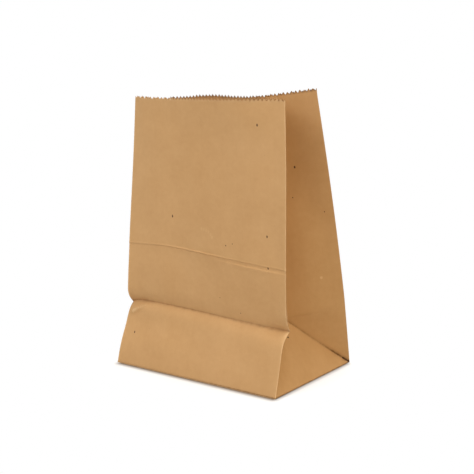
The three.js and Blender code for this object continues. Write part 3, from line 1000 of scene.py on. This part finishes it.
def flapSlab(name, outward, seed):  # outward is 1 for the back flap and -1 for the front one
    columns, rows = flaps["cells"]
    along, across = np.meshgrid(np.linspace(-1, 1, columns + 1), np.linspace(0, 1, rows + 1), indexing="ij")
    edge = halfDepth - flaps["inset"]
    reach = edge + flaps["lap"] / 2
    x = along * (halfWidth - flaps["inset"] - across * reach)
    y = outward * (edge - across * reach)
    cockles = 1 + np.clip(waves(x, y, seed, flaps["cockleReach"]), -1, 1)
    underside = flaps["cockle"] * cockles * smooth(across * flaps["calmPart"])
    if outward > 0:
        underside += paper * (1 - climb(y, flaps["lap"] / 2, flaps["settle"]))
    curl = paper * flaps["foldCurl"] * swell(across * flaps["curlPart"])
    low = np.stack([x, y, underside + curl], -1).reshape(-1, 3)
    high = np.stack([x, y, np.full_like(x, flaps["top"])], -1).reshape(-1, 3)
    points = np.concatenate([low, high])
    index = np.arange(low.shape[0]).reshape(columns + 1, rows + 1)
    under = twoTriangles(index[:-1, :-1], index[1:, :-1], index[1:, 1:], index[:-1, 1:])
    edgeLoop = np.concatenate([index[:-1, 0], index[-1, :-1], index[:0:-1, -1], index[0, :0:-1]])
    nextLoop, shift = np.roll(edgeLoop, -1), low.shape[0]
    side = twoTriangles(nextLoop, edgeLoop, edgeLoop + shift, nextLoop + shift)
    faces = np.concatenate([under, under[:, ::-1] + shift, side])
    if outward < 0:
        faces = faces[:, ::-1]
    parts = np.repeat([0, 2], [2 * len(under), len(side)])
    uv = points[faces][..., :2] + (np.array(mapAt["flaps"]) - np.array([0, mapAt["flapsApart"] * outward]))
    marks = {
        "ridge": np.tile(swell(across * flaps["rubbedPart"]).ravel(), 2) * flaps["rubbedAndHighlight"],
        "valley": np.zeros(len(points)),
        "tip": np.zeros(len(points)),
        "scatter": np.ones(len(points)),
    }
    return makePiece(name, points, faces, parts, uv, marks, kraftSlots)


backFlap = flapSlab("back_bottom_flap", 1, 3)
frontFlap = flapSlab("front_bottom_flap", -1, 4)
for piece in (bagSheet, backFlap, frontFlap):
    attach(piece, "root")
    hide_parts("paper_bag")
print("pieces placed")

# The camera stands at the photograph's angle
view = {
    "place": (0.4282, -0.5740, 0.2248),
    "yaw": 36.35,
    "pitch": 8.0,
    "roll": -0.47,
    "focalPixels": 932.1,
    "middlePixel": (237.8, 207.4),
    "imagePixels": 474,
}
yaw, pitch, roll = (np.radians(view[key]) for key in ("yaw", "pitch", "roll"))
forward = Vector((-np.sin(yaw) * np.cos(pitch), np.cos(yaw) * np.cos(pitch), -np.sin(pitch)))
level = Vector((np.cos(yaw), np.sin(yaw), 0))
upright = level.cross(forward)
right = level * np.cos(roll) + upright * np.sin(roll)
above = upright * np.cos(roll) - level * np.sin(roll)
lens = bpy.data.cameras.new("photoView")
camera = addObject("photoView", lens)
turn = Matrix((right, above, -forward)).transposed().to_4x4()
camera.matrix_world = Matrix.Translation(Vector(view["place"])) @ turn
lens.sensor_width = 36
lens.lens = view["focalPixels"] / view["imagePixels"] * lens.sensor_width
lens.shift_x = (view["imagePixels"] / 2 - view["middlePixel"][0]) / view["imagePixels"]
lens.shift_y = (view["middlePixel"][1] - view["imagePixels"] / 2) / view["imagePixels"]
bpy.context.scene.camera = camera

# A white sweep of floor and a soft studio: lamps are aimed at the middle of the bag
studio = {
    "worldLight": 0.0,  # the white that the camera sees round the bag gives no light
    "floorReach": 6.0,
    "floorColour": 0.45,
    "floorLift": 0.62,  # what the floor glows with for the camera alone
    "contactShadowColour": (0.26, 0.20, 0.15),  # the floor's painted shadow right at the bag's foot
    "contactOver": 0.005,
    "liftOver": 0.0080,  # how far from the bag's foot the floor takes to reach its full lift, so that it is painted darker nearer in
    "shadeShort": (0.005, 0.006, 0.0025),  # how much less far the painted shadow reaches left, behind and right
    "clearFrom": 0.006,  # where the floor begins to turn pure white, and where it is
    "clearTo": 0.030,
    "aim": (0, 0, 0.10),
}
lamps = {
    "keyFrontLeft": {"place": (-0.55, -1.25, 1.05), "size": 0.8, "power": 11.5},
    "topSoft": {"place": (0.15, 0.10, 1.60), "size": 1.2, "power": 20.5},
    "frontFill": {"place": (0.25, -1.70, 0.30), "size": 1.4, "power": 11.2},
    "rightFill": {"place": (1.60, -0.30, 0.80), "size": 1.0, "power": 12.6, "colour": (1, 0.82, 0.50)},
    "backFill": {"place": (-0.35, 1.50, 0.70), "size": 1.2, "power": 11.0},
}


def makeLamp(name, place, size, power, colour=(1, 1, 1)):
    data = bpy.data.lights.new(name, "AREA")
    data.size, data.energy, data.color = size, power, colour
    lamp = addObject(name, data)
    lamp.location = place
    lamp.rotation_mode = "QUATERNION"
    lamp.rotation_quaternion = (Vector(studio["aim"]) - Vector(place)).to_track_quat("-Z", "Y")


for name, values in lamps.items():
    makeLamp(name, **values)


def seenRays(tree):  # 1 for rays from the camera, in reflections and through glass
    rays = addNode(tree, "ShaderNodeLightPath").outputs
    seen = math(tree, "MAXIMUM", rays["Is Camera Ray"], rays["Is Glossy Ray"])
    return math(tree, "MAXIMUM", seen, rays["Is Transmission Ray"])


world = bpy.data.worlds.new("studio")
bpy.context.scene.world = world
tree = emptyTree(world)
strength = spread(tree, seenRays(tree), 0, 1, studio["worldLight"], 1.0)
sky = addNode(tree, "ShaderNodeBackground", {"Color": (1, 1, 1, 1), "Strength": strength})
addNode(tree, "ShaderNodeOutputWorld", {"Surface": sky.outputs[0]})

floorMesh = bpy.data.meshes.new("floor")
floorReach = studio["floorReach"]
floorCorners = [(x * floorReach, y * floorReach, 0) for x, y in ((-1, -1), (1, -1), (1, 1), (-1, 1))]
floorMesh.from_pydata(floorCorners, [], [(0, 1, 2, 3)])
floor = addObject("floor", floorMesh)
paint = bpy.data.materials.new("whiteFloor")
tree = emptyTree(paint)
seen = seenRays(tree)
place = addNode(tree, "ShaderNodeTexCoord").outputs["Object"]
# The distance to a rectangle a little shorter than the bag's footprint, over which the floor's painted shadow fades
shortLeft, shortBack, shortRight = studio["shadeShort"]
shadeMiddle = ((shortLeft - shortRight) / 2, -shortBack / 2, 0)
footprint = (halfWidth - (shortLeft + shortRight) / 2, halfDepth - shortBack / 2, 0)
sides = vectorMath(tree, "ABSOLUTE", vectorMath(tree, "SUBTRACT", place, shadeMiddle))
sides = vectorMath(tree, "MAXIMUM", vectorMath(tree, "SUBTRACT", sides, footprint))
away = vectorMath(tree, "LENGTH", sides, output="Value")
grey = (studio["floorColour"],) * 3
floorShade = mixColour(tree, spread(tree, away, 0, studio["contactOver"]), studio["contactShadowColour"], grey)
matt = addNode(tree, "ShaderNodeBsdfDiffuse", {"Color": floorShade})
lift = math(tree, "MULTIPLY", seen, spread(tree, away, 0, studio["liftOver"], 0, studio["floorLift"]))
glow = addNode(tree, "ShaderNodeEmission", {"Color": (1, 1, 1, 1), "Strength": lift})
lifted = addNode(tree, "ShaderNodeAddShader", {0: matt.outputs[0], 1: glow.outputs[0]})
clear = math(tree, "MULTIPLY", seen, spread(tree, away, studio["clearFrom"], studio["clearTo"]))
white = addNode(tree, "ShaderNodeEmission", {"Color": (1, 1, 1, 1), "Strength": 1.0})
both = addNode(tree, "ShaderNodeMixShader", {0: clear, 1: lifted.outputs[0], 2: white.outputs[0]})
addNode(tree, "ShaderNodeOutputMaterial", {"Surface": both.outputs[0]})
floorMesh.materials.append(paint)

bpy.context.scene.view_settings.view_transform = "Standard"
print("scene ready")
